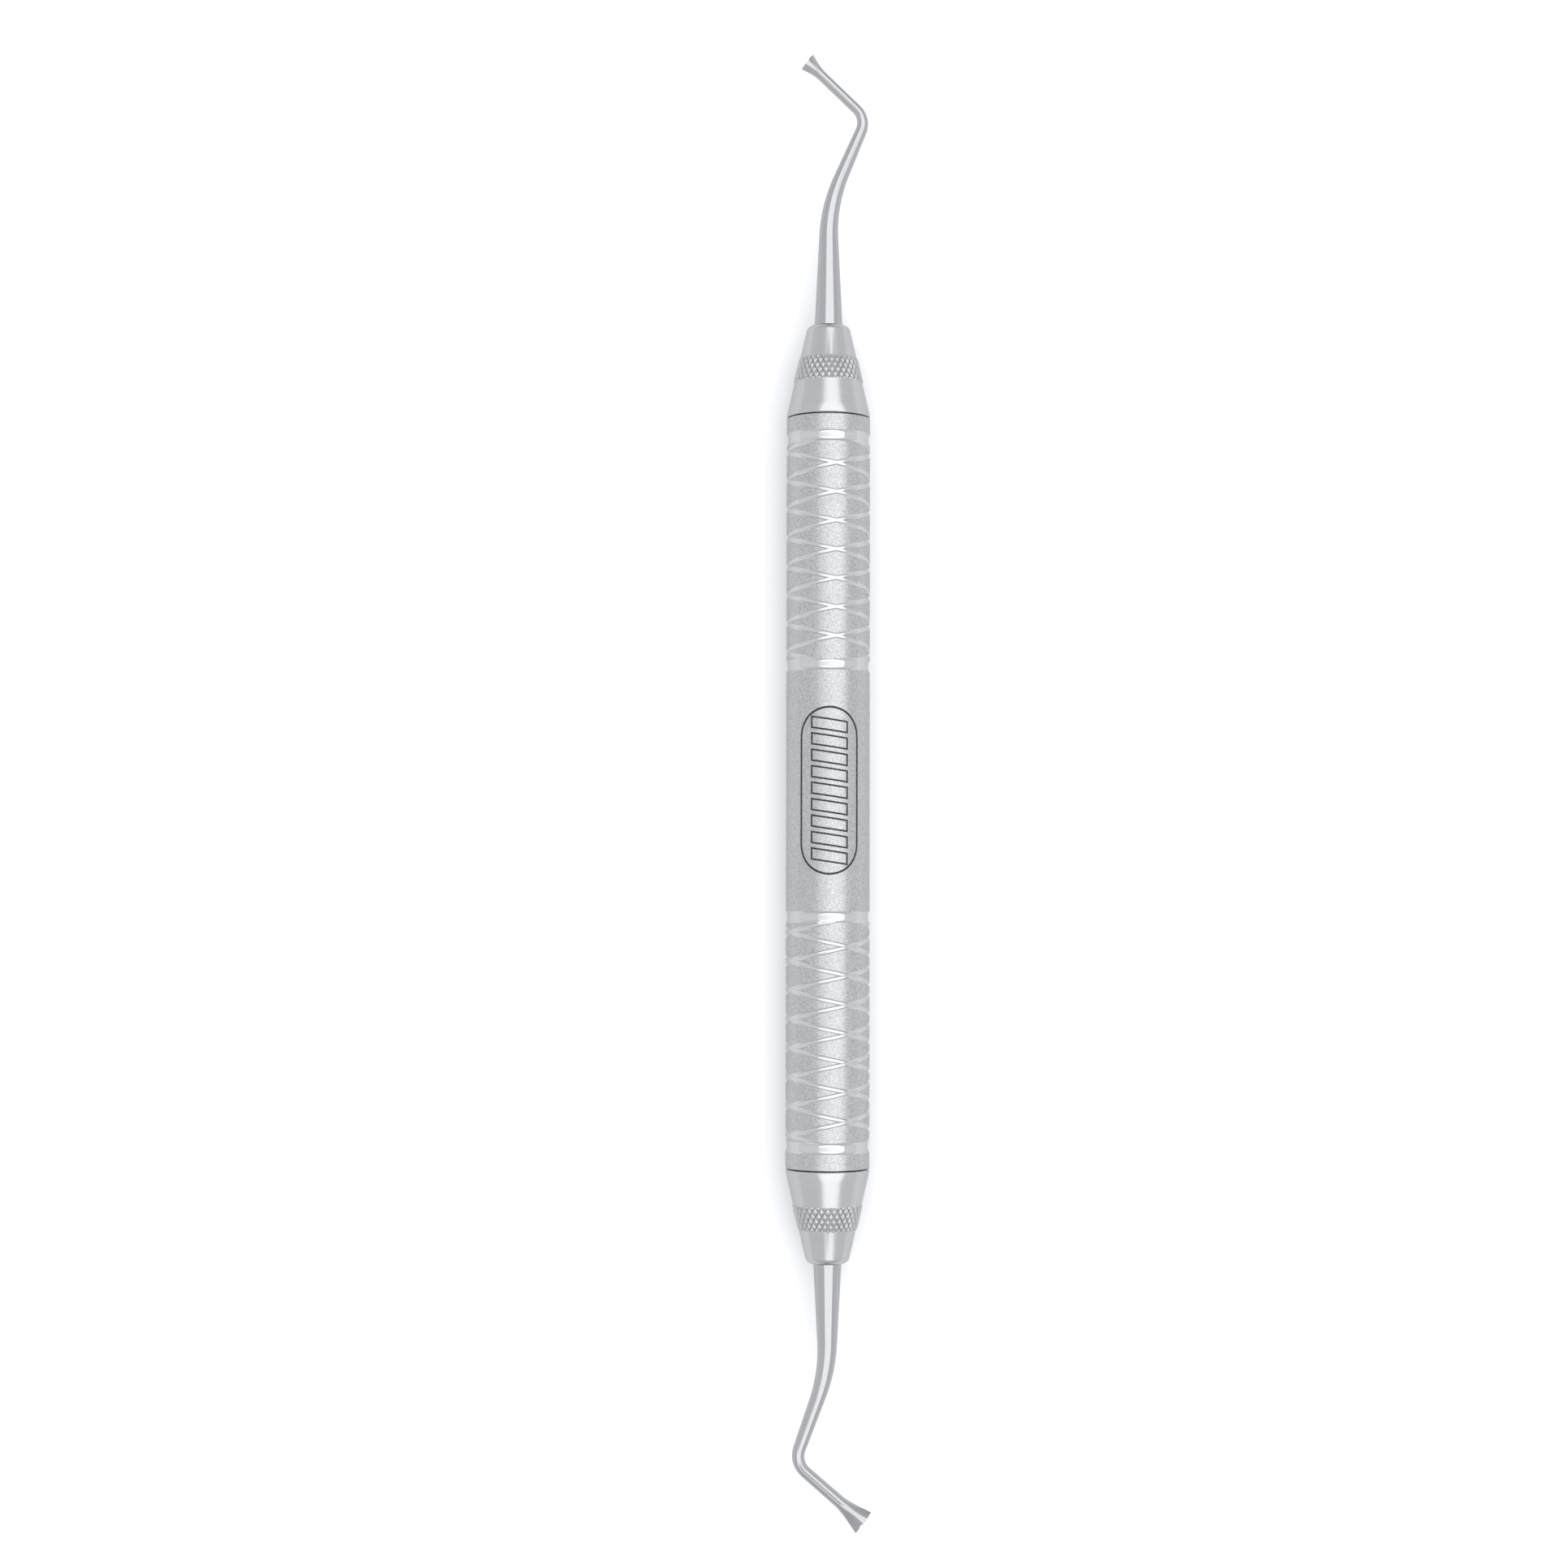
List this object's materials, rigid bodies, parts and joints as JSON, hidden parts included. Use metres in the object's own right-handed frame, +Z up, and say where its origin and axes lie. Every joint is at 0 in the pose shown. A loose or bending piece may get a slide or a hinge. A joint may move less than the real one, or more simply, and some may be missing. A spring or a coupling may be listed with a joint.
{
  "type": "double-ended dental hand instrument",
  "caption": "Double-ended steel dental hand scaler: round textured handle, knurled screw-in cones, bent tapered shanks and small hollowed fishtail blades.",
  "frame": {"origin": "middle of the handle, on its axis; the surface that the instrument lies on is 4.75 mm below", "axes": "+X along the handle towards the upper end, +Z up from the surface that the instrument lies on"},
  "size_m": [0.168, 0.0097, 0.0094],
  "materials": {
    "blasted_steel": "fine bead-blasted matte, with polished grooves",
    "turned_steel": "fine turned satin",
    "polished_steel": "satin polish along the shank",
    "seal_rubber": "smooth matte"
  },
  "bodies": {
    "handle": {"handle_tube": "blasted_steel", "upper_end_plug": "turned_steel", "lower_end_plug": "turned_steel"},
    "upper_seal": {"upper_seal_ring": "seal_rubber"},
    "lower_seal": {"lower_seal_ring": "seal_rubber"},
    "upper_tip": {"upper_cone_socket": "turned_steel", "upper_working_end": "polished_steel"},
    "lower_tip": {"lower_cone_socket": "turned_steel", "lower_working_end": "polished_steel"}
  },
  "joints": [
    {"name": "upper_advance", "type": "slide", "parent": "handle", "child": "upper_seal", "axis": [1, 0, 0], "range_m": [0, 0.0048]},
    {"name": "upper_unscrew", "type": "hinge", "parent": "upper_seal", "child": "upper_tip", "pos_m": [0.0425, 0, 0], "axis": [1, 0, 0], "range_deg": [0, 2162]},
    {"name": "lower_advance", "type": "slide", "parent": "handle", "child": "lower_seal", "axis": [-1, 0, 0], "range_m": [0, 0.0048]},
    {"name": "lower_unscrew", "type": "hinge", "parent": "lower_seal", "child": "lower_tip", "pos_m": [-0.0425, 0, 0], "axis": [-1, 0, 0], "range_deg": [0, 2162]}
  ],
  "couplings": [
    {"joint": "upper_unscrew", "follows": "upper_advance", "rad_per_m": 7854},
    {"joint": "lower_unscrew", "follows": "lower_advance", "rad_per_m": 7854}
  ]
}
